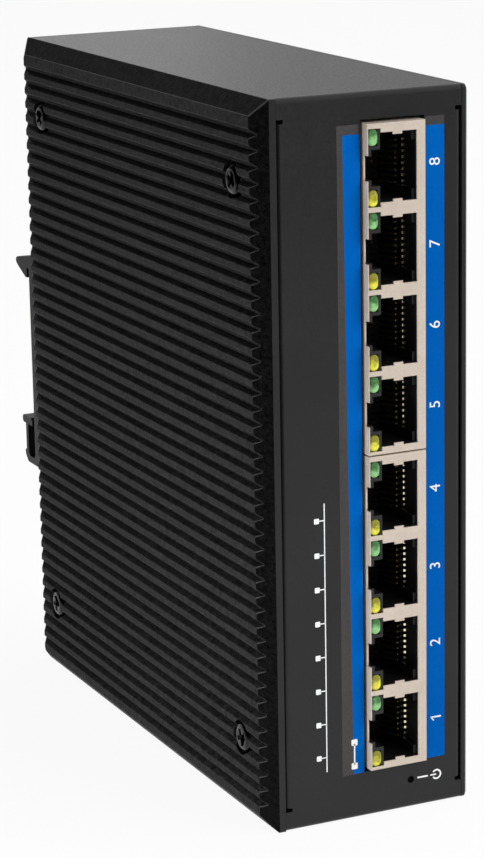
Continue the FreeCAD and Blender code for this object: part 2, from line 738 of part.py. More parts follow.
lower, upper = gang_low, gang_low + gang_pitch
pieces = [build_case(), build_finned_plate(), build_flat_cover()]
tip_in = sheet_thick + screw_past
plate_seat = head_tall - fin_height
pieces.append(pan_head_screws("plate_screws", "X", side_screws, plate_seat, rim_thick + tip_in, 1))
pieces.append(flat_head_screws("cover_screws", side_screws, case_width, cover_in, cover_in - tip_in))
for side, low in (("lower", lower), ("upper", upper)):
    pieces.append(build_shield(side + "_jack_shield", low))
    pieces.append(build_housing(side + "_jack_housing", low))
    pieces.append(build_contacts(side + "_jack_contacts", low))
pieces.append(build_lenses("green_indicators", True))
pieces.append(build_lenses("yellow_indicators", False))
pieces.append(build_board())
pieces.append(build_posts())
pieces.extend(build_board_parts())
pieces.append(build_lamp())
pieces.extend(build_header())
pieces.append(build_clip())
clip_seat = case_depth + clip_plate - head_tall
pieces.append(pan_head_screws("clip_screws", "Y", clip_screws, clip_seat, case_depth - tip_in, -1))

doc.recompute()
for item in doc.Objects:
    if "Invalid" in item.State or "Error" in item.State:
        raise RuntimeError("feature failed: %s in %s" % (item.Name, item.getParentGeoFeatureGroup()))
os.makedirs("parts", exist_ok=True)
for piece in pieces:
    shape = piece.Shape
    if shape.isNull() or not shape.isValid() or not shape.Solids:
        raise RuntimeError("bad shape: " + piece.Label)
    shape.exportStep("parts/%s.step" % piece.Label)
    print("%-22s %2d solids %10.2f mm3" % (piece.Label, len(shape.Solids), shape.Volume))
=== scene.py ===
"""Looks of an eight-port rail-mounted ethernet switch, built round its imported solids.

The frame is the part's own: +Z up, the sockets face -Y and the finned plate is on -X. Lengths in the classes
are millimetres in the case frame, measured from the plate's rim, the front panel and the bottom.
"""
import json
import logging
import math
from collections.abc import Callable, Iterator
from contextlib import contextmanager
from dataclasses import dataclass, field, replace
from enum import Enum
from functools import cache, partial

import bmesh
import bpy
from mathutils import Euler, Matrix, Vector

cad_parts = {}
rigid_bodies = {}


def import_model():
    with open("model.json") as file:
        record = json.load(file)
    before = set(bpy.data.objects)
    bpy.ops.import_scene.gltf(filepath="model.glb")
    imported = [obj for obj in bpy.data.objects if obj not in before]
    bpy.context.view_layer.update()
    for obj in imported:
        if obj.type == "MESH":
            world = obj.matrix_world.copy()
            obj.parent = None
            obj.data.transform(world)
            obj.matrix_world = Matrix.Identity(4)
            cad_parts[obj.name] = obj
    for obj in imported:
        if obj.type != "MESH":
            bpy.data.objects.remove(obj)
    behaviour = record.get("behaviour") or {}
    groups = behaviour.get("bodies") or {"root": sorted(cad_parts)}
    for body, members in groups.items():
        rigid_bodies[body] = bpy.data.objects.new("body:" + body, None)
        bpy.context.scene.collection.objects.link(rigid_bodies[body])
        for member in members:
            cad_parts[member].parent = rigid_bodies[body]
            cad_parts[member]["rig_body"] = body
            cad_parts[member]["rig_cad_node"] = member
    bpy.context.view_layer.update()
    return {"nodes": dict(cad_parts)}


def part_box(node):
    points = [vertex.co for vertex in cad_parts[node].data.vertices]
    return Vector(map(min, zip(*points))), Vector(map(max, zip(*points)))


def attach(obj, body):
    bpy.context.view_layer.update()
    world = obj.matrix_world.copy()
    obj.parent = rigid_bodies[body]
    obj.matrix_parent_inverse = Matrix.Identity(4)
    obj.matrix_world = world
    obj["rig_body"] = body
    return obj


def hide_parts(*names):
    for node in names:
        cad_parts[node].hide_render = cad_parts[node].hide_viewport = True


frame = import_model()
LOG = logging.getLogger("ethernet_switch")
MM = 0.001
FIN_HEIGHT = 2.1
CASE_WIDTH = 37.1
CASE_DEPTH = 108.4
CASE_HEIGHT = 127.2
ORIGIN = Vector((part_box("finned_side_plate")[0].x + FIN_HEIGHT * MM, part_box("case_shell")[0].y, 0.0))
# Short names of types
Piece = bpy.types.Object
Test = Callable[[object], bool]
Triple = tuple[float, float, float]
Four = tuple[float, float, float, float]
Spot = tuple[float, int, float, float, float, float]
# Corners of a mesh that are nearer than this are one corner
WELD = 0.001 * MM
# An edge counts as sharp past the first angle, and a face as flat under the second
SHARP = math.radians(25)
FLAT = math.radians(0.5)
# A face looks along an axis when its normal's share of it is past this
SQUARE = 0.9


class Bit(Enum):
    """What is picked on a mesh in edit mode."""

    CORNER = "VERT"
    EDGE = "EDGE"
    FACE = "FACE"


class Facing(Enum):
    """Which way the top of a screw head looks."""

    FINS = Euler((0.0, -math.pi / 2, 0.0))
    COVER = Euler((0.0, math.pi / 2, 0.0))
    REAR = Euler((-math.pi / 2, 0.0, 0.0))


def at(x: float, y: float, z: float) -> Vector:
    """Turn millimetres in the case frame into metres in the part's frame."""
    return ORIGIN + Vector((x, y, z)) * MM


def linear(colour: str) -> Four:
    """Turn an sRGB hex value with its hash sign into linear RGBA."""
    shares = [int(colour[i:i + 2], 16) / 255 for i in (1, 3, 5)]
    return *(s / 12.92 if s <= 0.04045 else ((s + 0.055) / 1.055) ** 2.4 for s in shares), 1.0


def add_node(
        tree: bpy.types.NodeTree, kind: str, feeds: dict | None = None, **settings: object) -> bpy.types.Node:
    """Add one node with its settings and links.

    Args:
        tree: The node tree that takes it.
        kind: The node's type name without its prefix.
        feeds: Values or sockets by input name or number.
        settings: Properties of the node.

    Returns:
        The new node.
    """
    node = tree.nodes.new("ShaderNode" + kind)
    for key, value in settings.items():
        setattr(node, key, value)
    for key, value in (feeds or {}).items():
        if isinstance(value, bpy.types.NodeSocket):
            tree.links.new(value, node.inputs[key])
        else:
            node.inputs[key].default_value = value
    return node


def new_material(name: str) -> tuple[bpy.types.Material, bpy.types.Node]:
    """Start a node material.

    Args:
        name: Its name.

    Returns:
        The material and its shader.
    """
    material = bpy.data.materials.new(name)
    material.use_nodes = True
    return material, material.node_tree.nodes["Principled BSDF"]


@dataclass(frozen=True)
class Epoxy:
    """Tinted indicator epoxy: cloudy inside and clear at the skin, with painted light: its colour turns
    lighter towards the lens's lower end, standing for light gathered in the dome.
    """

    name: str
    deep: str
    pale: str
    roughness: float = 0.12
    cloud: float = 0.9
    scatter: float = 0.4
    scatter_depth: float = 0.5
    skin: float = 0.3
    skin_roughness: float = 0.03

    def build(self) -> bpy.types.Material:
        """Make the node material.

        Returns:
            The material.
        """
        material, shader = new_material(self.name)
        tree = material.node_tree
        node = partial(add_node, tree)
        place = node("TexCoord").outputs["Object"]
        cloud = node("TexNoise", {"Vector": place, "Scale": 1 / (self.cloud * MM)})
        # Painted light: the lighter colour at the lens's lower end stands for light gathered in the dome
        end = node("Attribute", attribute_name="painted_glow")
        drift = node("Math", {0: end.outputs["Fac"], 1: cloud.outputs[0]}, operation="ADD")
        share = node("MapRange", {"Value": drift.outputs[0], "From Min": 0.75, "From Max": 1.3},
                     interpolation_type="SMOOTHSTEP")
        tone = node("Mix", {0: share.outputs[0], 6: linear(self.deep), 7: linear(self.pale)},
                    data_type="RGBA")
        tree.links.new(tone.outputs[2], shader.inputs["Base Color"])
        values = {"Roughness": self.roughness, "Subsurface Weight": self.scatter,
                  "Subsurface Scale": self.scatter_depth * MM,
                  "Coat Weight": self.skin, "Coat Roughness": self.skin_roughness}
        for key, value in values.items():
            shader.inputs[key].default_value = value
        return material


@dataclass(frozen=True)
class Finish:
    """A surface: what it is made of, how it was made and what that gives the eye.

    Grain, relief and patch are millimetres. Real grain is finer than a pixel, so it is drawn coarser to show.
    """

    name: str
    colour: str
    shade: str
    roughness: float
    spread: float = 0.05
    metallic: float = 0.0
    specular: float = 0.5
    grain: float = 0.42
    relief: float = 0.01
    patch: float = 14.0
    stretch: Triple = (1.0, 1.0, 1.0)

    def build(self) -> bpy.types.Material:
        """Make the node material: slow patches of tone, a fine grain in relief and in gloss.

        Returns:
            The material.
        """
        material, shader = new_material(self.name)
        tree = material.node_tree
        node = partial(add_node, tree)
        place = node("TexCoord").outputs["Object"]
        drawn = node("Mapping", {"Vector": place, "Scale": self.stretch}).outputs[0]
        grain = node("TexNoise", {"Vector": drawn, "Scale": 1 / (self.grain * MM), "Detail": 2.0})
        patch = node("TexNoise", {"Vector": place, "Scale": 1 / (self.patch * MM), "Detail": 3.0})
        blend = node("Math", {0: grain.outputs[0], 1: patch.outputs[0]}, operation="MULTIPLY")
        share = node("MapRange", {"Value": blend.outputs[0], "From Min": 0.1, "From Max": 0.45})
        tone = node("Mix", {0: share.outputs[0], 6: linear(self.colour), 7: linear(self.shade)},
                    data_type="RGBA")
        gloss = node("MapRange", {
            "Value": grain.outputs[0], "From Min": 0.3, "From Max": 0.7,
            "To Min": self.roughness - self.spread, "To Max": self.roughness + self.spread})
        relief = node("Bump", {"Height": grain.outputs[0], "Distance": self.relief * MM})
        tree.links.new(tone.outputs[2], shader.inputs["Base Color"])
        tree.links.new(gloss.outputs[0], shader.inputs["Roughness"])
        tree.links.new(relief.outputs[0], shader.inputs["Normal"])
        shader.inputs["Metallic"].default_value = self.metallic
        shader.inputs["Specular IOR Level"].default_value = self.specular
        return material


# Folded steel under a satin powder coat: near black, with a pebbled grain that breaks up its gloss
COAT = Finish("powder_coated_steel", "#161617", "#1e1e1f", 0.36, 0.06, specular=0.34, relief=0.008)
# Extruded aluminium, blasted and dyed black: duller than the coat, speckled, with a rougher grain
FINS = Finish("black_anodised_aluminium", "#0f0f10", "#313132", 0.48, 0.14, specular=0.03, relief=0.1,
              patch=1.1, stretch=(1.0, 0.6, 1.0))
# The plate's sawn ends, milled off at a slant after drawing: rougher and darker than the drawn faces
MILLED = Finish("milled_black_aluminium", "#020203", "#151516", 0.55, 0.2, specular=0.04, grain=0.4,
                relief=0.12, patch=0.9)
# The plate's rim, faced smooth where it meets the case: as even and satin as the coat beside it
FACED = replace(COAT, name="faced_black_aluminium")
# Painted highlight: a lighter, glossier tone on the plate's small edges that lean up, where they catch the
# light from above
EDGE_HIGHLIGHT = Finish("painted_highlight_black_aluminium", "#3c3c3d", "#525254", 0.4, 0.06, specular=0.3)
# Extruded aluminium of the clip, drawn along its length: faint streaks
CLIP = Finish("drawn_black_aluminium", "#0b0b0c", "#141415", 0.42, specular=0.14, grain=0.35, relief=0.008,
              stretch=(0.08, 1.0, 1.0))
# Nickel plate over rolled sheet: warm pale metal, matte, faintly mottled
NICKEL = Finish("matte_nickel_plate", "#c9bbac", "#d8cbbd", 0.48, 0.06, 0.2, grain=0.22, relief=0.003,
                patch=5.0)
# Moulded nylon: black, with the dull skin of a spark-eroded tool
NYLON = Finish("moulded_black_nylon", "#0c0c0d", "#151516", 0.48, grain=0.18, relief=0.004, patch=4.0)
# Gold flash over bronze strip: smooth, with sharp pale glints
GOLD = Finish("gold_flashed_bronze", "#e6dcc2", "#f2ead2", 0.1, 0.03, 1.0, grain=0.1, relief=0.001, patch=3.0)
# Tinted epoxy of the indicators: soft, slightly cloudy colour under a glossy skin
GREEN = Epoxy("green_tinted_epoxy", "#32702f", "#8ccb83")
YELLOW = Epoxy("yellow_tinted_epoxy", "#8c8a08", "#ebe63a")
# Dark epoxy of the power indicator, unlit: almost no gloss
SMOKED = Finish("smoked_epoxy", "#020202", "#050505", 0.5, 0.03, specular=0.05, grain=0.5, relief=0.002,
                patch=1.5)
# Screen-printed ink: an even film that softens the coat's grain
BLUE_INK = Finish("blue_screen_ink", "#005cb3", "#0062ba", 0.5, 0.04, specular=0.02, relief=0.006, patch=9.0)
WHITE_INK = Finish("white_screen_ink", "#f3f4f5", "#fdfdfd", 0.5, 0.04, relief=0.004, patch=6.0)
GREY_INK = Finish("grey_screen_ink", "#3c3b3b", "#484645", 0.5, 0.04, specular=0.2, patch=8.0)
# Steel screws blackened in an oxide bath and oiled: dark metal with a soft shine
OXIDE = Finish("black_oxide_steel", "#2b2b2c", "#373738", 0.24, 0.05, 1.0, grain=0.2, relief=0.003, patch=3.0)
# What sits inside the case: satin green mask, dull chips, shiny can and sleeve, plated metal
MASK = Finish("green_solder_mask", "#0f4a26", "#17603a", 0.35, grain=0.5, relief=0.004, patch=10.0)
EPOXY = Finish("moulded_chip_epoxy", "#161617", "#222223", 0.55, grain=0.15, relief=0.004, patch=4.0)
CAN = Finish("drawn_steel_can", "#b9babb", "#cfd0d1", 0.28, 0.05, 1.0, grain=0.2, relief=0.002, patch=3.0)
SLEEVE = Finish("dark_shrink_sleeve", "#141a2b", "#1d2438", 0.3, 0.04, grain=0.6, relief=0.004, patch=5.0)
HEADER = Finish("moulded_green_nylon", "#1d6b38", "#278048", 0.45, grain=0.2, relief=0.004, patch=5.0)
ZINC = Finish("zinc_plated_steel", "#b8b9b6", "#cdcecb", 0.32, 0.06, 1.0, grain=0.25, relief=0.003, patch=2.5)
TIN = Finish("tinned_brass", "#cfcdc8", "#dddbd6", 0.25, 0.05, 1.0, grain=0.15, relief=0.001, patch=3.0)


@cache
def material_of(finish: Finish | Epoxy) -> bpy.types.Material:
    """Return the finish's material, made on first use."""
    return finish.build()


def lone(piece: Piece) -> None:
    """Select one object only and make it active.

    Args:
        piece: The object.
    """
    bpy.ops.object.select_all(action="DESELECT")
    piece.select_set(True)
    bpy.context.view_layer.objects.active = piece


@contextmanager
def shaping(piece: Piece) -> Iterator[None]:
    """Open a piece in edit mode for a while.

    Args:
        piece: The mesh to shape.
    """
    lone(piece)
    bpy.ops.object.mode_set(mode="EDIT")
    yield
    bpy.ops.object.mode_set(mode="OBJECT")


def pick(bit: Bit, test: Test) -> None:
    """Select the corners, edges or faces of the open mesh that pass a test.

    Args:
        bit: What to select.
        test: Tells which are wanted.
    """
    bpy.ops.mesh.select_mode(type=bit.value)
    bpy.ops.mesh.select_all(action="DESELECT")
    data = bpy.context.edit_object.data
    mesh = bmesh.from_edit_mesh(data)
    for item in {Bit.CORNER: mesh.verts, Bit.EDGE: mesh.edges, Bit.FACE: mesh.faces}[bit]:
        item.select_set(bool(test(item)))
    mesh.select_flush_mode()
    bmesh.update_edit_mesh(data)


def round_edges(test: Test, width: float, steps: int, clamp: bool = False) -> None:
    """Round the edges of the open mesh that pass a test, by a width in metres."""
    pick(Bit.EDGE, test)
    bpy.ops.mesh.bevel(offset=width, segments=steps, affect="EDGES", clamp_overlap=clamp)


def extrude(shift: Vector | Triple) -> None:
    """Draw what is picked on the open mesh out by a shift."""
    bpy.ops.mesh.extrude_region_move(TRANSFORM_OT_translate={"value": shift})


def weld() -> None:
    """Merge doubled corners of the open mesh and turn its faces outwards."""
    bpy.ops.mesh.select_all(action="SELECT")
    bpy.ops.mesh.remove_doubles(threshold=WELD)
    bpy.ops.mesh.normals_make_consistent(inside=False)


def sharp(edge: object) -> bool:
    """Tell whether two faces meet at an outward angle along an edge."""
    return len(edge.link_faces) == 2 and edge.calc_face_angle_signed(0.0) > SHARP


def within(edge: object, low: Vector, high: Vector) -> bool:
    """Tell whether both ends of an edge lie in a box, give or take a hair."""
    hair = 0.02 * MM
    return all(low[i] - hair < end.co[i] < high[i] + hair for end in edge.verts for i in range(3))


def along(edge: object, axis: int) -> bool:
    """Tell whether an edge runs along an axis, to a thousandth."""
    run = edge.verts[1].co - edge.verts[0].co
    return abs(run[axis]) > 0.999 * run.length


def shade(piece: Piece, limit: float) -> None:
    """Shade a piece smooth, apart from edges past an angle in degrees."""
    lone(piece)
    bpy.ops.object.shade_smooth_by_angle(angle=math.radians(limit))


def smooth(piece: Piece, limit: float = 30.5) -> None:
    """Shade the rounded edges smooth, up to an angle in degrees, and keep the flat faces flat."""
    shade(piece, limit)
    modify(piece, "WEIGHTED_NORMAL", keep_sharp=True, weight=100)


def settle(piece: Piece) -> None:
    """Put an object's place, turn and size into its mesh."""
    lone(piece)
    bpy.ops.object.transform_apply(location=True, rotation=True, scale=True)


def modify(piece: Piece, kind: str, **settings: object) -> None:
    """Add one modifier and apply it.

    Args:
        piece: The object that takes it.
        kind: The modifier's type name.
        settings: Its properties.
    """
    lone(piece)
    step = piece.modifiers.new(kind.lower(), kind)
    for key, value in settings.items():
        setattr(step, key, value)
    bpy.ops.object.modifier_apply(modifier=step.name)


def block(name: str, low: Vector, high: Vector) -> Piece:
    """Start a piece as a box between two corners.

    Args:
        name: The piece's name.
        low: Its lowest corner.
        high: Its highest corner.

    Returns:
        The box.
    """
    bpy.ops.mesh.primitive_cube_add(size=1.0, location=(low + high) / 2, scale=high - low)
    piece = bpy.context.object
    piece.name = name
    settle(piece)
    return piece


def remove(piece: Piece) -> None:
    """Delete a helper object."""
    lone(piece)
    bpy.ops.object.delete()


def join(name: str, pieces: list[Piece]) -> Piece:
    """Join pieces into one object.

    Args:
        name: The joined object's name.
        pieces: The objects; the first is kept.

    Returns:
        The joined object.
    """
    lone(pieces[0])
    for piece in pieces:
        piece.select_set(True)
    bpy.ops.object.join()
    pieces[0].name = name
    return pieces[0]


def twin(piece: Piece, shift: Vector) -> Piece:
    """Copy a piece with its own mesh and move the copy.

    Args:
        piece: The object to copy.
        shift: How far the copy moves.

    Returns:
        The copy.
    """
    lone(piece)
    bpy.ops.object.duplicate()
    copy = bpy.context.object
    copy.location = copy.location + shift
    settle(copy)
    return copy


@dataclass(frozen=True)
class Rounding:
    """A set of sharp edges and how far they are rounded."""

    width: float
    wanted: Test
    steps: int = 3


def soft_copy(
        node: str, name: str, finish: Finish, slot: str, *roundings: Rounding, limit: float = 10.0) -> Piece:
    """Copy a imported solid, merge its loose triangles, round some of its sharp edges and hand it over.

    Args:
        node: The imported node.
        name: The new piece's name.
        finish: Its surface.
        slot: The record's material slot.
        roundings: Which edges are rounded, set by set.
        limit: Angle in degrees past which an edge is sharp.

    Returns:
        The new piece.
    """
    lone(frame["nodes"][node])
    bpy.ops.object.duplicate()
    piece = bpy.context.object
    piece.name = name
    piece.parent = None
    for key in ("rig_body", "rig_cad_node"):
        del piece[key]
    with shaping(piece):
        bpy.ops.mesh.select_all(action="SELECT")
        bpy.ops.mesh.customdata_custom_splitnormals_clear()
        bpy.ops.mesh.remove_doubles(threshold=WELD)
        bpy.ops.mesh.dissolve_limited(angle_limit=FLAT)
        for each in roundings:
            round_edges(lambda e: sharp(e) and each.wanted(e), each.width * MM, each.steps, True)
    smooth(piece, limit)
    hand_over(piece, finish, slot, node)
    return piece


def hand_over(piece: Piece, finish: Finish | Epoxy, slot: str | None, *nodes: str) -> None:
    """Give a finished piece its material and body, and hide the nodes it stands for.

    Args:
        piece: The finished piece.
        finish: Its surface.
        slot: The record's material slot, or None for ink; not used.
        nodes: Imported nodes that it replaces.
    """
    piece.data.materials.clear()
    piece.data.materials.append(material_of(finish))
    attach(piece, "root")
    if nodes:
        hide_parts(*nodes)
    LOG.info("%s: %d faces, %s", piece.name, len(piece.data.polygons), finish.name)


@dataclass
class CrossHeadScrew:
    """A screw with a cross recess, modelled once with its head's top at the origin, then copied."""

    head: float = 5.6
    tall: float = 1.7
    shaft: float = 3.0
    length: float = 6.1
    flush: bool = False
    crown: float = 1.2
    recess_long: float = 3.8
    recess_wide: float = 0.95
    recess_deep: float = 1.2
    recess_edge: float = 0.1
    recess_taper: float = 0.55
    mouth_share: float = 0.6
    mouth_deep: float = 0.2
    flush_edge: float = 0.12
    first_turn: float = 20.0
    next_turn: float = 37.0
    facets: int = 40

    def turn_blank(self) -> Piece:
        """Shape head and shaft from a cylinder.

        Returns:
            The screw without its recess.
        """
        under = -self.tall * MM
        bpy.ops.mesh.primitive_cylinder_add(
            vertices=self.facets, radius=self.head / 2 * MM, depth=self.tall * MM, location=(0, 0, under / 2))
        blank = bpy.context.object
        settle(blank)
        with shaping(blank):
            pick(Bit.FACE, lambda f: f.normal.z < -SQUARE)
            if self.flush:
                share = self.shaft / self.head
                bpy.ops.transform.resize(value=(share, share, 1.0), center_override=(0, 0, under))
            else:
                bpy.ops.mesh.inset(thickness=(self.head - self.shaft) / 2 * MM, depth=0.0)
            reach = (self.tall - self.length) * MM
            extrude((0, 0, reach))
            width, steps = (self.flush_edge, 2) if self.flush else (self.crown, 5)
            round_edges(lambda e: all(c.co.z > -WELD for c in e.verts), width * MM, steps)
        return blank

    def recess(self) -> Piece:
        """Shape the tapered cross that the driver sits in.

        Returns:
            The cutter.
        """
        arms = []
        half, deep = self.recess_wide / 2, self.recess_deep
        for long, wide in ((self.recess_long / 2, half), (half, self.recess_long / 2)):
            corner = Vector((long, wide, deep)) * MM
            arm = block("arm", -corner, corner)
            with shaping(arm):
                pick(Bit.FACE, lambda f: f.normal.z < -SQUARE)
                taper = (self.recess_taper, self.recess_taper, 1.0)
                bpy.ops.transform.resize(value=taper, center_override=(0, 0, -deep * MM))
            arms.append(arm)
        modify(arms[0], "BOOLEAN", operation="UNION", object=arms[1], solver="EXACT")
        remove(arms[1])
        return arms[0]

    def build(self, name: str, node: str, places: list[Vector], facing: Facing) -> None:
        """Cut the recess, copy the screw to its places and hand the set over.

        Args:
            name: Name of the set.
            node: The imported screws.
            places: Centres of the heads' tops.
            facing: Which way the heads look.
        """
        first = self.turn_blank()
        cutter = self.recess()
        modify(first, "BOOLEAN", operation="DIFFERENCE", object=cutter, solver="EXACT")
        remove(cutter)
        mouth, deep = self.recess_long * self.mouth_share * MM, -self.mouth_deep * MM
        with shaping(first):
            round_edges(lambda e: sharp(e) and all(c.co.z > deep and c.co.xy.length < mouth for c in e.verts),
                        self.recess_edge * MM, 2)
        turned = []
        side = facing.value.to_matrix().to_4x4()
        for number, place in enumerate(places):
            screw = twin(first, Vector())
            # Each driver stopped at its own angle
            spin = Matrix.Rotation(math.radians(self.first_turn + self.next_turn * number), 4, "Z")
            screw.matrix_world = Matrix.Translation(place) @ side @ spin
            settle(screw)
            turned.append(screw)
        remove(first)
        screws = join(name, turned)
        smooth(screws)
        hand_over(screws, OXIDE, "black_screw", node)


@dataclass
class SideScrews:
    """The screws that hold the finned plate and the flat cover."""

    inset_y: float = 10.7
    inset_z: float = 14.5

    def places(self, x: float) -> list[Vector]:
        """Return the four head centres on a side."""
        return [at(x, y, z) for y in (self.inset_y, CASE_DEPTH - self.inset_y)
                for z in (self.inset_z, CASE_HEIGHT - self.inset_z)]

    def build(self) -> None:
        """Model both sets."""
        plate = CrossHeadScrew(length=6.3)
        plate.build("plate_cross_screws", "plate_screws", self.places(-FIN_HEIGHT), Facing.FINS)
        cover = CrossHeadScrew(tall=1.2, length=4.4, flush=True, recess_deep=0.8)
        cover.build("cover_cross_screws", "cover_screws", self.places(CASE_WIDTH), Facing.COVER)


@dataclass
class FoldedCase:
    """The steel case, folded from one sheet and coated."""

    fold_limit: float = 50.0

    def build(self) -> None:
        """Shade the folds round."""
        soft_copy("case_shell", "folded_case", COAT, "black_steel", limit=self.fold_limit)


@dataclass
class SidePlates:
    """The ploughed plate on the left and the flat cover on the right."""

    rim: float = 1.3
    rim_from: float = 0.1
    cover_in: float = 35.9
    front_corner: float = 0.2
    rear_corner: float = 0.9
    cover_corner: float = 0.6
    crest_top: float = 0.2
    crest_low: float = 0.3
    border_edge: float = 0.14
    tip_edge: float = 0.16
    seam_edge: float = 0.22
    cover_edge: float = 0.75
    border: float = 3.5
    field_from: float = 4.0
    raised_to: float = 1.0
    crumb: float = 0.3
    shortest_crest: float = 4.0
    shortest_upright: float = 20.0
    rubbed_area: float = 1.0
    # Least shares of an edge's run or a face's normal along an axis
    mitre: float = 0.35
    steep: float = 0.7
    slope: float = 0.3
    lean: float = 0.15
    border_lean: float = 0.5
    outward: float = 0.2

    def in_corner(self, edge: object) -> bool:
        """Tell whether an edge lies in one of the four outer corners.

        Args:
            edge: An edge of the open mesh.

        Returns:
            Whether it does and is longer than a crumb.
        """
        spans, heights = [((0.0, self.border), (far - self.border, far)) for far in (CASE_DEPTH, CASE_HEIGHT)]
        boxes = [(at(-FIN_HEIGHT, y0, z0), at(CASE_WIDTH, y1, z1)) for y0, y1 in spans for z0, z1 in heights]
        return edge.calc_length() > self.crumb * MM and any(within(edge, *box) for box in boxes)

    def inward(self, edge: object) -> bool:
        """Tell whether an edge is a corner's upright or mitred edge."""
        run = edge.verts[1].co - edge.verts[0].co
        return abs(run.x) > self.mitre * run.length and self.in_corner(edge)

    def front(self, edge: object) -> bool:
        """Tell whether an edge lies in the front half."""
        return edge.verts[0].co.y < at(0, CASE_DEPTH / 2, 0).y

    def crest(self, edge: object) -> bool:
        """Tell whether an edge is a long one of a crest, or of the border."""
        length, raised = edge.calc_length() / MM, max(c.co.x for c in edge.verts) < at(self.raised_to, 0, 0).x
        return raised and length > self.shortest_crest and (along(edge, 1) or length > self.shortest_upright)

    def flank(self, way: int) -> Test:
        """Return a test for the crests' edges over flanks that look up, 1, or down, -1."""
        return lambda e: self.crest(e) and along(e, 1) and any(
            f.normal.z * way > self.steep for f in e.link_faces)

    def slanted(self, normal: Vector) -> bool:
        """Tell whether a face is on the front or rear slope."""
        return self.slope < abs(normal.y) < SQUARE

    def tip(self, edge: object) -> bool:
        """Tell whether an edge ends a crest's upper flank at the front or rear slope."""
        normals = [f.normal for f in edge.link_faces]
        return any(n.z > self.steep for n in normals) and any(
            self.slanted(n) and n.x < -self.slope for n in normals)

    def seam(self, x: float) -> Test:
        """Find the outline against the folded case.

        Args:
            x: Where the plate's inner face is.

        Returns:
            A test for its edges.
        """
        low, high = at(x, 0, 0), at(x, CASE_DEPTH, CASE_HEIGHT)
        near, far = at(x, 1, 1), at(x, CASE_DEPTH - 1, CASE_HEIGHT - 1)
        return lambda e: within(e, low, high) and not within(e, near, far)

    def surface(self, facet: bpy.types.MeshPolygon) -> Finish:
        """Choose the finish of one of the ploughed plate's facets.

        Args:
            facet: The facet.

        Returns:
            Its finish.
        """
        normal = facet.normal
        if facet.center.x > at(self.rim_from, 0, 0).x:
            return FACED
        # Small facets that lean up and to an end are on a crest's tip or a mitre, the other is over the
        # field: both get the painted highlight
        small = abs(normal.y) > self.lean and facet.area < self.rubbed_area * MM * MM
        over = normal.z < self.border_lean and facet.center.z > at(0, 0, CASE_HEIGHT - self.field_from).z
        if (small or over) and normal.z > self.lean and normal.x < -self.outward:
            return EDGE_HIGHLIGHT
        return MILLED if self.slanted(normal) else FINS

    def build(self) -> None:
        """Model both plates."""
        seam = self.seam(self.rim)
        # The plough rolls both edges of each crest over a little, and the lower one more
        plate = soft_copy(
            "finned_side_plate", "ploughed_plate", FINS, "black_fins",
            Rounding(self.rear_corner, lambda e: self.inward(e) and not self.front(e), 4),
            Rounding(self.front_corner, lambda e: self.inward(e) and self.front(e), 2),
            Rounding(self.tip_edge, self.tip, 1), Rounding(self.crest_top, self.flank(1), 6),
            Rounding(self.crest_low, self.flank(-1), 6), Rounding(self.border_edge, self.crest, 1),
            Rounding(self.seam_edge, lambda e: along(e, 2) and seam(e)))
        finishes = [FINS, MILLED, FACED, EDGE_HIGHLIGHT]
        for finish in finishes[1:]:
            plate.data.materials.append(material_of(finish))
        for facet in plate.data.polygons:
            facet.material_index = finishes.index(self.surface(facet))
        soft_copy("flat_side_cover", "cut_cover", COAT, "black_steel",
                  Rounding(self.cover_corner, self.inward, 4),
                  Rounding(self.cover_edge, self.seam(self.cover_in)))


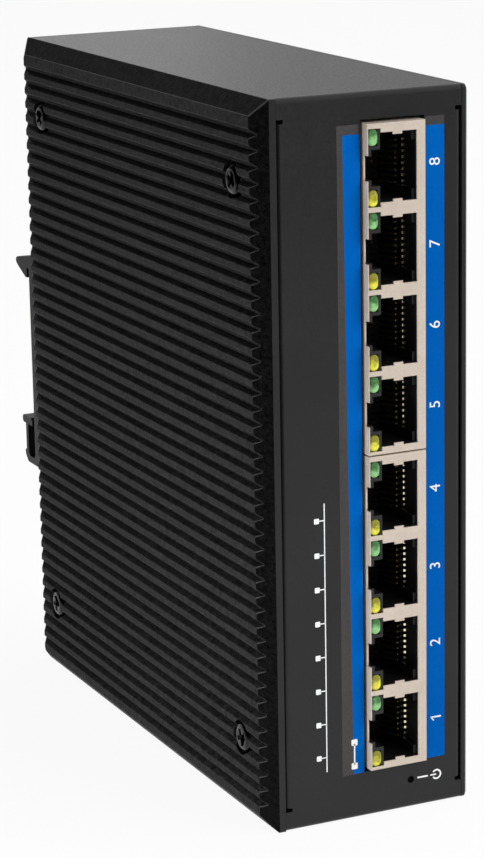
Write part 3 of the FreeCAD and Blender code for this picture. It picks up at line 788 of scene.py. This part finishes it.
@dataclass
class SocketBlock:
    """One ganged block of four sockets: shield, indicators and spring contacts."""

    side: str
    ports: int = 4
    pitch: float = 13.97
    drop: float = 0.16
    port_wide: float = 11.7
    skin: float = 0.25
    floor: float = 1.65
    lens_wide: float = 2.9
    lens_high: float = 1.9
    lens_out: float = 0.7
    lens_deep: float = 5.75
    lens_round: float = 0.92
    lens_dome: float = 0.45
    lens_back: float = 0.25
    dome_steps: int = 7
    lens_limit: float = 60.0
    shield_edge: float = 0.1
    latch_neck: float = 4.0
    wall_from: float = 1.4
    wall_thick: float = 0.16
    wall_deep: float = 9.8
    wall_edge: float = 0.06
    wire_wide: float = 0.42
    wire_thick: float = 0.3
    wire_pitch: float = 1.02
    wires: int = 8
    bend: float = 0.4
    arm_rise: float = 2.6
    arm_long: float = 6.6
    arm_cut: float = 1.2
    leg_sink: float = 0.35
    fold_back: float = 4.2
    tail_back: float = 15.0
    wire_limit: float = 40.0
    low: Vector = field(init=False)
    high: Vector = field(init=False)

    def __post_init__(self) -> None:
        """Take the block's place from its packed shield."""
        self.low, self.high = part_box(self.side + "_jack_shield")

    def port(self, number: int) -> float:
        """Return the height of a port's middle in metres."""
        from_middle = self.pitch * (number - (self.ports - 1) / 2) - self.drop
        return (self.low.z + self.high.z) / 2 + from_middle * MM

    def per_port(self, first: Piece) -> list[Piece]:
        """Return a piece of the lowest port, with copies of it for the others."""
        return [first] + [twin(first, Vector((0, 0, self.pitch * n * MM))) for n in range(1, self.ports)]

    def fold_shield(self) -> None:
        """Soften the folds of the plated shield."""
        front = self.low.y + 0.01 * MM
        folds = Rounding(self.shield_edge, lambda e: all(c.co.y < front for c in e.verts))
        soft_copy(self.side + "_jack_shield", self.side + "_plated_shield", NICKEL, "plated_shield", folds)

    def mould_lens(self, name: str, upper: bool) -> list[Piece]:
        """Shape one indicator and copy it to every port.

        Args:
            name: Name of the first copy.
            upper: Whether it sits in the upper latch corner.

        Returns:
            The copies.
        """
        reach = self.port_wide / 2 + self.lens_out
        edge = reach - self.lens_wide if upper else -reach
        front = self.low.y + (self.skin + self.lens_dome - self.lens_back) * MM
        corner = Vector((self.low.x + self.skin * MM, front, self.port(0) + edge * MM))
        size = Vector((self.lens_high, self.lens_deep - self.lens_dome, self.lens_wide)) * MM
        lens = block(name, corner, corner + size)
        with shaping(lens):
            # Upright corners first, so that the end is a pill, and then the dome over it
            round_edges(lambda e: along(e, 1), self.lens_round * MM, 6)
            pick(Bit.FACE, lambda f: f.normal.y < -SQUARE)
            middle = corner + size / 2
            turn = math.pi / 2 / self.dome_steps
            for step in range(self.dome_steps - 1):
                lift = self.lens_dome * (math.sin((step + 1) * turn) - math.sin(step * turn)) * MM
                extrude((0, -lift, 0))
                share = math.cos((step + 1) * turn) / math.cos(step * turn)
                bpy.ops.transform.resize(value=(share, 1.0, share), center_override=middle)
        shade(lens, self.lens_limit)
        # Painted light: a share that is 1 at the lens's lower end and 0 at its upper end, which the material
        # paints lighter
        painted_glow = lens.data.attributes.new("painted_glow", "FLOAT", "POINT")
        for point, share in zip(lens.data.vertices, painted_glow.data):
            share.value = 1 - (point.co.z - corner.z) / size.z
        return self.per_port(lens)

    def bend_wire(self) -> Piece:
        """Bend one contact: tail on the board, leg under the floor, arm rising into the plug space.

        Returns:
            The lowest contact.
        """
        front = self.low.y + self.skin * MM
        board = self.high.x
        thick, wide, bend = self.wire_thick * MM, self.wire_wide * MM, self.bend * MM
        leg = board - (self.floor - self.leg_sink) * MM
        tail = front + self.tail_back * MM + thick / 2
        fold = front + self.fold_back * MM
        height = self.port(0) - self.wire_pitch * (self.wires - 1) / 2 * MM
        slope = math.atan2(self.arm_rise + self.leg_sink, self.arm_long)
        start = Vector((board, tail, height))
        heel, toe = (leg + bend, tail - bend, height), (leg - bend, fold + bend, height)
        bpy.ops.mesh.primitive_plane_add(size=wide, location=start, rotation=(0, math.pi / 2, 0))
        wire = bpy.context.object
        wire.name = "contact_wire"
        settle(wire)
        with shaping(wire):
            bpy.ops.mesh.select_all(action="SELECT")
            bpy.ops.transform.resize(value=(1.0, thick / wide, 1.0), center_override=start)
            extrude((leg + bend - board, 0, 0))
            bpy.ops.mesh.spin(steps=5, angle=math.pi / 2, center=heel, axis=(0, 0, 1))
            extrude((0, fold + bend - (tail - bend), 0))
            bpy.ops.mesh.spin(steps=8, angle=math.pi - slope, center=toe, axis=(0, 0, -1))
            rise = Vector((-math.sin(slope), math.cos(slope), 0)) * (self.arm_long - self.arm_cut) * MM
            extrude(rise)
            weld()
        shade(wire, self.wire_limit)
        return wire

    def mould_latch_walls(self) -> list[Piece]:
        """Shape a thin dark sheet outside a latch slot, painted shade that keeps the slot black inside, and
        copy it to every port.

        Returns:
            The copies.
        """
        corner = self.low + Vector((self.skin, self.wall_from, 0)) * MM
        corner.z = self.port(0) - self.latch_neck / 2 * MM
        size = Vector((self.wall_thick, self.wall_deep, self.latch_neck)) * MM
        wall = block("painted_shade_sheet", corner, corner + size)
        with shaping(wall):
            round_edges(lambda e: along(e, 2), self.wall_edge * MM, 2)
        return self.per_port(wall)

    def string_contacts(self) -> None:
        """Repeat the contact across the ports."""
        wire = self.bend_wire()
        for count, step in ((self.wires, self.wire_pitch), (self.ports, self.pitch)):
            modify(wire, "ARRAY", count=count, use_relative_offset=False, use_constant_offset=True,
                   constant_offset_displace=(0, 0, step * MM))
        wire.name = self.side + "_spring_contacts"
        hand_over(wire, GOLD, "contact_gold", self.side + "_jack_contacts")


@dataclass
class Sockets:
    """Both blocks of the column."""

    blocks: list[SocketBlock] = field(default_factory=lambda: [SocketBlock("lower"), SocketBlock("upper")])

    def heights(self) -> list[float]:
        """Return the heights of the ports' middles in metres, from the lowest."""
        return [each.port(number) for each in self.blocks for number in range(each.ports)]

    def build(self) -> None:
        """Model the shields, contacts and indicators."""
        green, yellow, walls = [], [], []
        for each in self.blocks:
            each.fold_shield()
            each.string_contacts()
            green += each.mould_lens("green_lens", True)
            yellow += each.mould_lens("yellow_lens", False)
            walls += each.mould_latch_walls()
        # The dark nylon sheets in the latch slots are painted shade
        hand_over(join("painted_shade_sheets", walls), NYLON, "black_plastic")
        hand_over(join("green_lenses", green), GREEN, "green_lens", "green_indicators")
        hand_over(join("yellow_lenses", yellow), YELLOW, "yellow_lens", "yellow_indicators")


@dataclass
class FrontPrint:
    """The ink on the front panel: stripes beside the sockets, port numbers and plain signs."""

    film: float = 0.02
    # Boxes of ink: left, right, low and high edges
    ground: Four = (12.3, 16.56, 8.2, 121.9)
    band: Four = (28.95, 32.54, 120.0, 122.3)
    left_stripe: Four = (14.5, 16.56, 8.3, 120.3)
    right_stripe: Four = (28.95, 32.54, 8.7, 120.8)
    lamp_mark: Four = (27.1, 29.2, 5.2, 5.5)
    supply_bar: Four = (29.7, 30.9, 5.22, 5.48)
    link_marks: tuple[Four, ...] = (
        (14.55, 14.8, 10.0, 13.9), (14.1, 15.25, 9.2, 10.35), (14.1, 15.25, 13.55, 14.7))
    # Middle, radius and open angle of the ring
    supply_ring: Four = (30.95, 5.35, 0.8, 70.0)
    taper: float = 1.15
    round_share: float = 0.25
    round_most: float = 0.6
    digit_tall: float = 2.05
    digit_x: float = 30.8
    digit_layers: float = 1.5
    font_share: float = 1.42
    line: float = 0.3
    flag_low: float = 0.5
    flag_high: float = 0.1
    flag_bend: float = 0.2
    flag_lean: float = 0.42
    bus_x: float = 9.3
    bus_ends: tuple[float, float] = (9.6, 58.0)
    bus_half: float = 0.1
    first_branch: float = 12.3
    branch_pitch: float = 6.1
    branch_long: float = 1.1
    branches: int = 8
    knot_ends: tuple[float, float] = (1.95, 1.0)
    knot_half: float = 0.48

    def patch(self, box: Four, layer: int = 1) -> Piece:
        """Lay one rectangle of ink.

        Args:
            box: Left, right, low and high edges.
            layer: How many films it stands off the panel.

        Returns:
            The film.
        """
        left, right, low, high = box
        film = block("film", at(left, -self.film * layer, low), at(right, 0.0, high))
        with shaping(film):
            width = self.round_share * min(right - left, high - low, self.round_most)
            round_edges(lambda e: along(e, 1), width * MM, 2)
        return film

    def stripes(self) -> None:
        """Lay the grey ground and the blue stripes, of which the left one tapers."""
        grey = [self.patch(self.ground), self.patch(self.band)]
        hand_over(join("grey_ground", grey), GREY_INK, None)
        left = self.patch(self.left_stripe, 2)
        outer, inner, low, high = self.left_stripe
        middle = at((outer + inner) / 2, 0, (low + high) / 2)
        with shaping(left):
            pick(Bit.CORNER, lambda c: c.co.x < middle.x and c.co.z > middle.z)
            bpy.ops.transform.translate(value=(-self.taper * MM, 0, 0))
        right = self.patch(self.right_stripe, 2)
        hand_over(join("blue_stripes", [left, right]), BLUE_INK, None)

    def digit(self, text: str, z: float) -> Piece:
        """Print one port number, turned to read upwards.

        Args:
            text: The number.
            z: Height of its middle in metres.

        Returns:
            The number as a thin mesh.
        """
        bpy.ops.object.text_add()
        sign = bpy.context.object
        sign.data.body = text
        sign.data.size = self.digit_tall * self.font_share * MM
        proud = self.film * self.digit_layers
        sign.data.extrude = proud * MM
        sign.data.align_x = "CENTER"
        sign.data.align_y = "CENTER"
        bpy.ops.object.convert(target="MESH")
        sign = bpy.context.object
        turn = Matrix(((0, -1, 0), (0, 0, -1), (1, 0, 0))).to_4x4()
        place = at(self.digit_x, -proud, 0)
        place.z = z
        sign.matrix_world = Matrix.Translation(place) @ turn
        settle(sign)
        return sign

    def number_one(self, z: float) -> list[Piece]:
        """Print the first port's number as a stem with a slanted flag.

        Args:
            z: Height of its middle in metres.

        Returns:
            Stem and flag.
        """
        top, middle = self.digit_x - self.digit_tall / 2, z / MM
        stem = self.patch((top, top + self.digit_tall, middle, middle + self.line), 3)
        flag = self.patch((top, top + self.line, middle - self.flag_low, middle + self.flag_high), 3)
        low = z - self.flag_bend * MM
        with shaping(flag):
            pick(Bit.CORNER, lambda c: c.co.z < low)
            bpy.ops.transform.translate(value=(self.flag_lean * MM, 0, 0))
        return [stem, flag]

    def ring(self, x: float, z: float, radius: float, gap: float) -> Piece:
        """Print an open ring by spinning a short bar of ink.

        Args:
            x: Middle of the ring.
            z: Middle of the ring.
            radius: Mean radius.
            gap: Angle left open on the left, in degrees.

        Returns:
            The ring.
        """
        centre = at(x, -self.film / 2, z)
        bpy.ops.mesh.primitive_plane_add(size=self.line * MM, location=centre - Vector((radius * MM, 0, 0)))
        bar = bpy.context.object
        settle(bar)
        with shaping(bar):
            bpy.ops.mesh.select_all(action="SELECT")
            bpy.ops.transform.resize(value=(1.0, self.film / self.line, 1.0), center_override=centre)
            opening = math.radians(gap)
            bpy.ops.mesh.spin(steps=3, angle=opening / 2, center=centre, axis=(0, 1, 0))
            bpy.ops.mesh.select_all(action="INVERT")
            bpy.ops.mesh.delete(type="FACE")
            bpy.ops.mesh.select_all(action="SELECT")
            bpy.ops.mesh.spin(steps=28, angle=2 * math.pi - opening, center=centre, axis=(0, 1, 0))
            weld()
        return bar

    def supply_sign(self) -> list[Piece]:
        """Print the on-and-off sign beside the lamp."""
        return [self.ring(*self.supply_ring), self.patch(self.supply_bar)]

    def bus_sign(self) -> list[Piece]:
        """Print a line with branches, which stands for the ports on one bus.

        Returns:
            Its films.
        """
        x, half = self.bus_x, self.bus_half
        far, near = self.knot_ends
        marks = [self.patch((x - half, x + half, *self.bus_ends))]
        for number in range(self.branches):
            z = self.first_branch + self.branch_pitch * number
            marks.append(self.patch((x - self.branch_long, x, z - half, z + half)))
            marks.append(self.patch((x - far, x - near, z - self.knot_half, z + self.knot_half)))
        return marks

    def link_sign(self) -> list[Piece]:
        """Print two stations joined by a line at the foot of the left stripe."""
        return [self.patch(box, 3) for box in self.link_marks]

    def build(self, ports: list[float]) -> None:
        """Print everything.

        Args:
            ports: Heights of the ports' middles in metres, from the lowest.
        """
        self.stripes()
        signs = self.number_one(ports[0]) + [self.digit(str(n), z) for n, z in enumerate(ports[1:], 2)]
        signs.append(self.patch(self.lamp_mark))
        signs += self.supply_sign() + self.bus_sign() + self.link_sign()
        hand_over(join("white_signs", signs), WHITE_INK, None)


@dataclass
class RailClip:
    """The clip behind the case, drawn in one length and sawn off."""

    edge: float = 0.25
    # Rounded places of the profile: radius, facets, from and to behind the panel, from and to in height
    nose: Spot = (0.78, 8, 118.9, 119.1, 47.4, 49.2)
    hem: Spot = (0.5, 6, 117.9, 118.1, 41.9, 42.1)
    foot: Spot = (0.48, 5, 108.3, 118.1, 39.4, 41.0)
    hook: Spot = (0.45, 6, 118.9, 119.8, 80.3, 82.0)
    face: float = 112.5
    screw_z: tuple[float, float] = (54.0, 71.6)

    def rounded(self, spot: Spot) -> Rounding:
        """Round the long edges of the drawn profile in one of its places.

        Args:
            spot: The place.

        Returns:
            The rounding.
        """
        radius, facets, near, far, low, high = spot
        box = at(0, near, low), at(CASE_WIDTH, far, high)
        return Rounding(radius, lambda e: along(e, 0) and within(e, *box), facets)

    def build(self) -> None:
        """Model the clip and its screws."""
        rounded = [self.rounded(spot) for spot in (self.nose, self.hem, self.foot, self.hook)]
        soft_copy("rail_clip", "drawn_clip", CLIP, "black_clip", *rounded,
                  Rounding(self.edge, lambda e: along(e, 0)))
        places = [at(CASE_WIDTH / 2, self.face, z) for z in self.screw_z]
        CrossHeadScrew(length=7.3).build("clip_cross_screws", "clip_screws", places, Facing.REAR)


@dataclass
class PackedPieces:
    """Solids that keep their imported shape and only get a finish."""

    finishes: dict[str, Finish] = field(default_factory=lambda: {
        "lower_jack_housing": NYLON, "upper_jack_housing": NYLON, "circuit_board": MASK,
        "board_standoffs": ZINC, "switch_chip": EPOXY, "clock_crystal": CAN, "transformer_modules": EPOXY,
        "converter_chip": EPOXY, "power_inductor": EPOXY, "power_capacitor": SLEEVE,
        "power_indicator": SMOKED, "power_header": HEADER, "power_pins": TIN})

    def build(self) -> None:
        """Put the finishes on the nodes."""
        for name, finish in self.finishes.items():
            node = frame["nodes"][name]
            node.data.materials.clear()
            node.data.materials.append(material_of(finish))
            LOG.info("%s: %s", name, finish.name)


@dataclass
class Studio:
    """A pale floor, soft lamps and the camera at the photograph's angle."""

    camera_place: Triple = (-199.79, -415.01, 188.95)
    right: Triple = (0.90383, -0.42752, -0.01782)
    down: Triple = (-0.12065, -0.21467, -0.96921)
    ahead: Triple = (0.41053, 0.87815, -0.2456)
    focal_px: float = 2850.3
    long_side_px: float = 858.0
    sensor: float = 36.0
    aim: Triple = (0.0, 0.0, 0.06)
    floor_size: float = 8.0
    floor_drop: float = 0.0002
    floor_share: float = 0.93
    sky_share: float = 0.3
    card_edge: float = 0.003
    card_roughness: float = 0.9

    def seen_rays(self, tree: bpy.types.NodeTree) -> bpy.types.NodeSocket:
        """Tell the camera's, mirrored and refracted rays from those that only carry light.

        Args:
            tree: The node tree that asks.

        Returns:
            A socket that gives 1 for the former.
        """
        rays = add_node(tree, "LightPath").outputs
        seen = rays["Is Camera Ray"]
        for kind in ("Is Glossy Ray", "Is Transmission Ray"):
            seen = add_node(tree, "Math", {0: seen, 1: rays[kind]}, operation="MAXIMUM").outputs[0]
        return seen

    def lay_floor(self) -> None:
        """Lay a wide white floor that keeps a soft shadow."""
        bpy.ops.mesh.primitive_plane_add(size=self.floor_size, location=(0, 0, -self.floor_drop))
        floor = bpy.context.object
        floor.name = "floor"
        material = new_material("white_paper")[0]
        tree = material.node_tree
        tree.nodes.clear()
        node = partial(add_node, tree)
        paper = node("BsdfDiffuse", {"Color": linear("#f2f2f2")})
        bright = node("Emission", {"Color": (1, 1, 1, 1), "Strength": 1.0})
        share = node("Math", {0: self.seen_rays(tree), 1: self.floor_share}, operation="MULTIPLY")
        mix = node("MixShader", {0: share.outputs[0], 1: paper.outputs[0], 2: bright.outputs[0]})
        node("OutputMaterial", {"Surface": mix.outputs[0]})
        floor.data.materials.append(material)

    def hang_lamp(self, name: str, place: Triple, size: float, watts: float) -> None:
        """Hang a square soft lamp that looks at the part's middle and isn't mirrored in it.

        Args:
            name: Its name.
            place: Its place in metres.
            size: Its side in metres.
            watts: Its power.
        """
        bpy.ops.object.light_add(type="AREA", location=place)
        lamp = bpy.context.object
        lamp.name = name
        lamp.data.size = size
        lamp.data.energy = watts
        lamp.visible_glossy = False
        lamp.visible_camera = False
        aim = Vector(self.aim) - Vector(place)
        lamp.rotation_euler = aim.to_track_quat("-Z", "Y").to_euler()

    def stand_flag(self, name: str, low: Triple, high: Triple, colour: str = "#0c0c0c") -> None:
        """Stand a card that only the part's reflections see, dark unless a tone is given.

        Args:
            name: Its name.
            low: Its lowest corner in metres.
            high: Its highest corner in metres.
            colour: Its tone.
        """
        card = block(name, Vector(low), Vector(high))
        with shaping(card):
            round_edges(lambda e: along(e, 1), self.card_edge, 2)
        material, shader = new_material("dull_" + name)
        shader.inputs["Base Color"].default_value = linear(colour)
        shader.inputs["Roughness"].default_value = self.card_roughness
        card.data.materials.append(material)
        card.visible_camera = False
        card.visible_diffuse = False
        card.visible_transmission = False
        card.visible_shadow = False

    def light(self) -> None:
        """Hang the lamps and set the white surroundings."""
        self.hang_lamp("right_softbox", (0.6, -0.6, 0.55), 0.7, 7.5)
        self.hang_lamp("top_softbox", (0.6, 0.3, 0.9), 0.8, 4.0)
        self.hang_lamp("low_bounce", (-0.15, -0.075, 0.005), 0.06, 0.32)
        self.stand_flag("left_card", (-0.41, -0.9, 0.0), (-0.4, 0.35, 2.2))
        self.stand_flag("left_rear_card", (-0.41, 0.35, 0.17), (-0.4, 2.4, 2.2))
        self.stand_flag("far_floor_card", (-1.5, 0.42, 0.001), (-0.09, 2.4, 0.004), "#e0e0e0")
        self.stand_flag("near_floor_card", (-1.5, -1.2, 0.001), (-0.1, 0.0, 0.004))
        self.stand_flag("far_card", (-0.4, 1.9, 0.3), (0.15, 1.91, 2.2), "#ffffff")
        self.stand_flag("front_floor_card", (0.08, -2.2, 0.001), (2.0, -0.5, 0.004))
        self.stand_flag("rear_card", (0.56, 1.2, 0.0), (2.0, 1.21, 0.9), "#ffffff")
        world = bpy.data.worlds.new("white_surroundings")
        bpy.context.scene.world = world
        world.use_nodes = True
        tree = world.node_tree
        tree.nodes.clear()
        level = add_node(tree, "MapRange", {"Value": self.seen_rays(tree), "To Min": self.sky_share})
        sky = add_node(tree, "Background", {"Color": (1, 1, 1, 1), "Strength": level.outputs[0]})
        add_node(tree, "OutputWorld", {"Surface": sky.outputs[0]})

    def set_camera(self) -> None:
        """Set the camera where the photograph was taken from."""
        bpy.ops.object.camera_add()
        camera = bpy.context.object
        camera.name = "photo_camera"
        turn = Matrix((Vector(self.right), -Vector(self.down), -Vector(self.ahead))).transposed()
        camera.matrix_world = Matrix.Translation(at(*self.camera_place)) @ turn.to_4x4()
        camera.data.sensor_width = self.sensor
        camera.data.lens = self.focal_px * self.sensor / self.long_side_px
        camera.data.clip_start = 0.01
        bpy.context.scene.camera = camera

    def build(self) -> None:
        """Set everything round the part."""
        self.lay_floor()
        self.light()
        self.set_camera()
        bpy.context.scene.view_settings.view_transform = "Standard"


def main() -> None:
    """Build the looks piece by piece."""
    logging.basicConfig(level=logging.INFO, format="%(name)s: %(message)s")
    PackedPieces().build()
    FoldedCase().build()
    SidePlates().build()
    SideScrews().build()
    sockets = Sockets()
    sockets.build()
    RailClip().build()
    FrontPrint().build(sockets.heights())
    Studio().build()


if __name__ == "__main__":
    main()
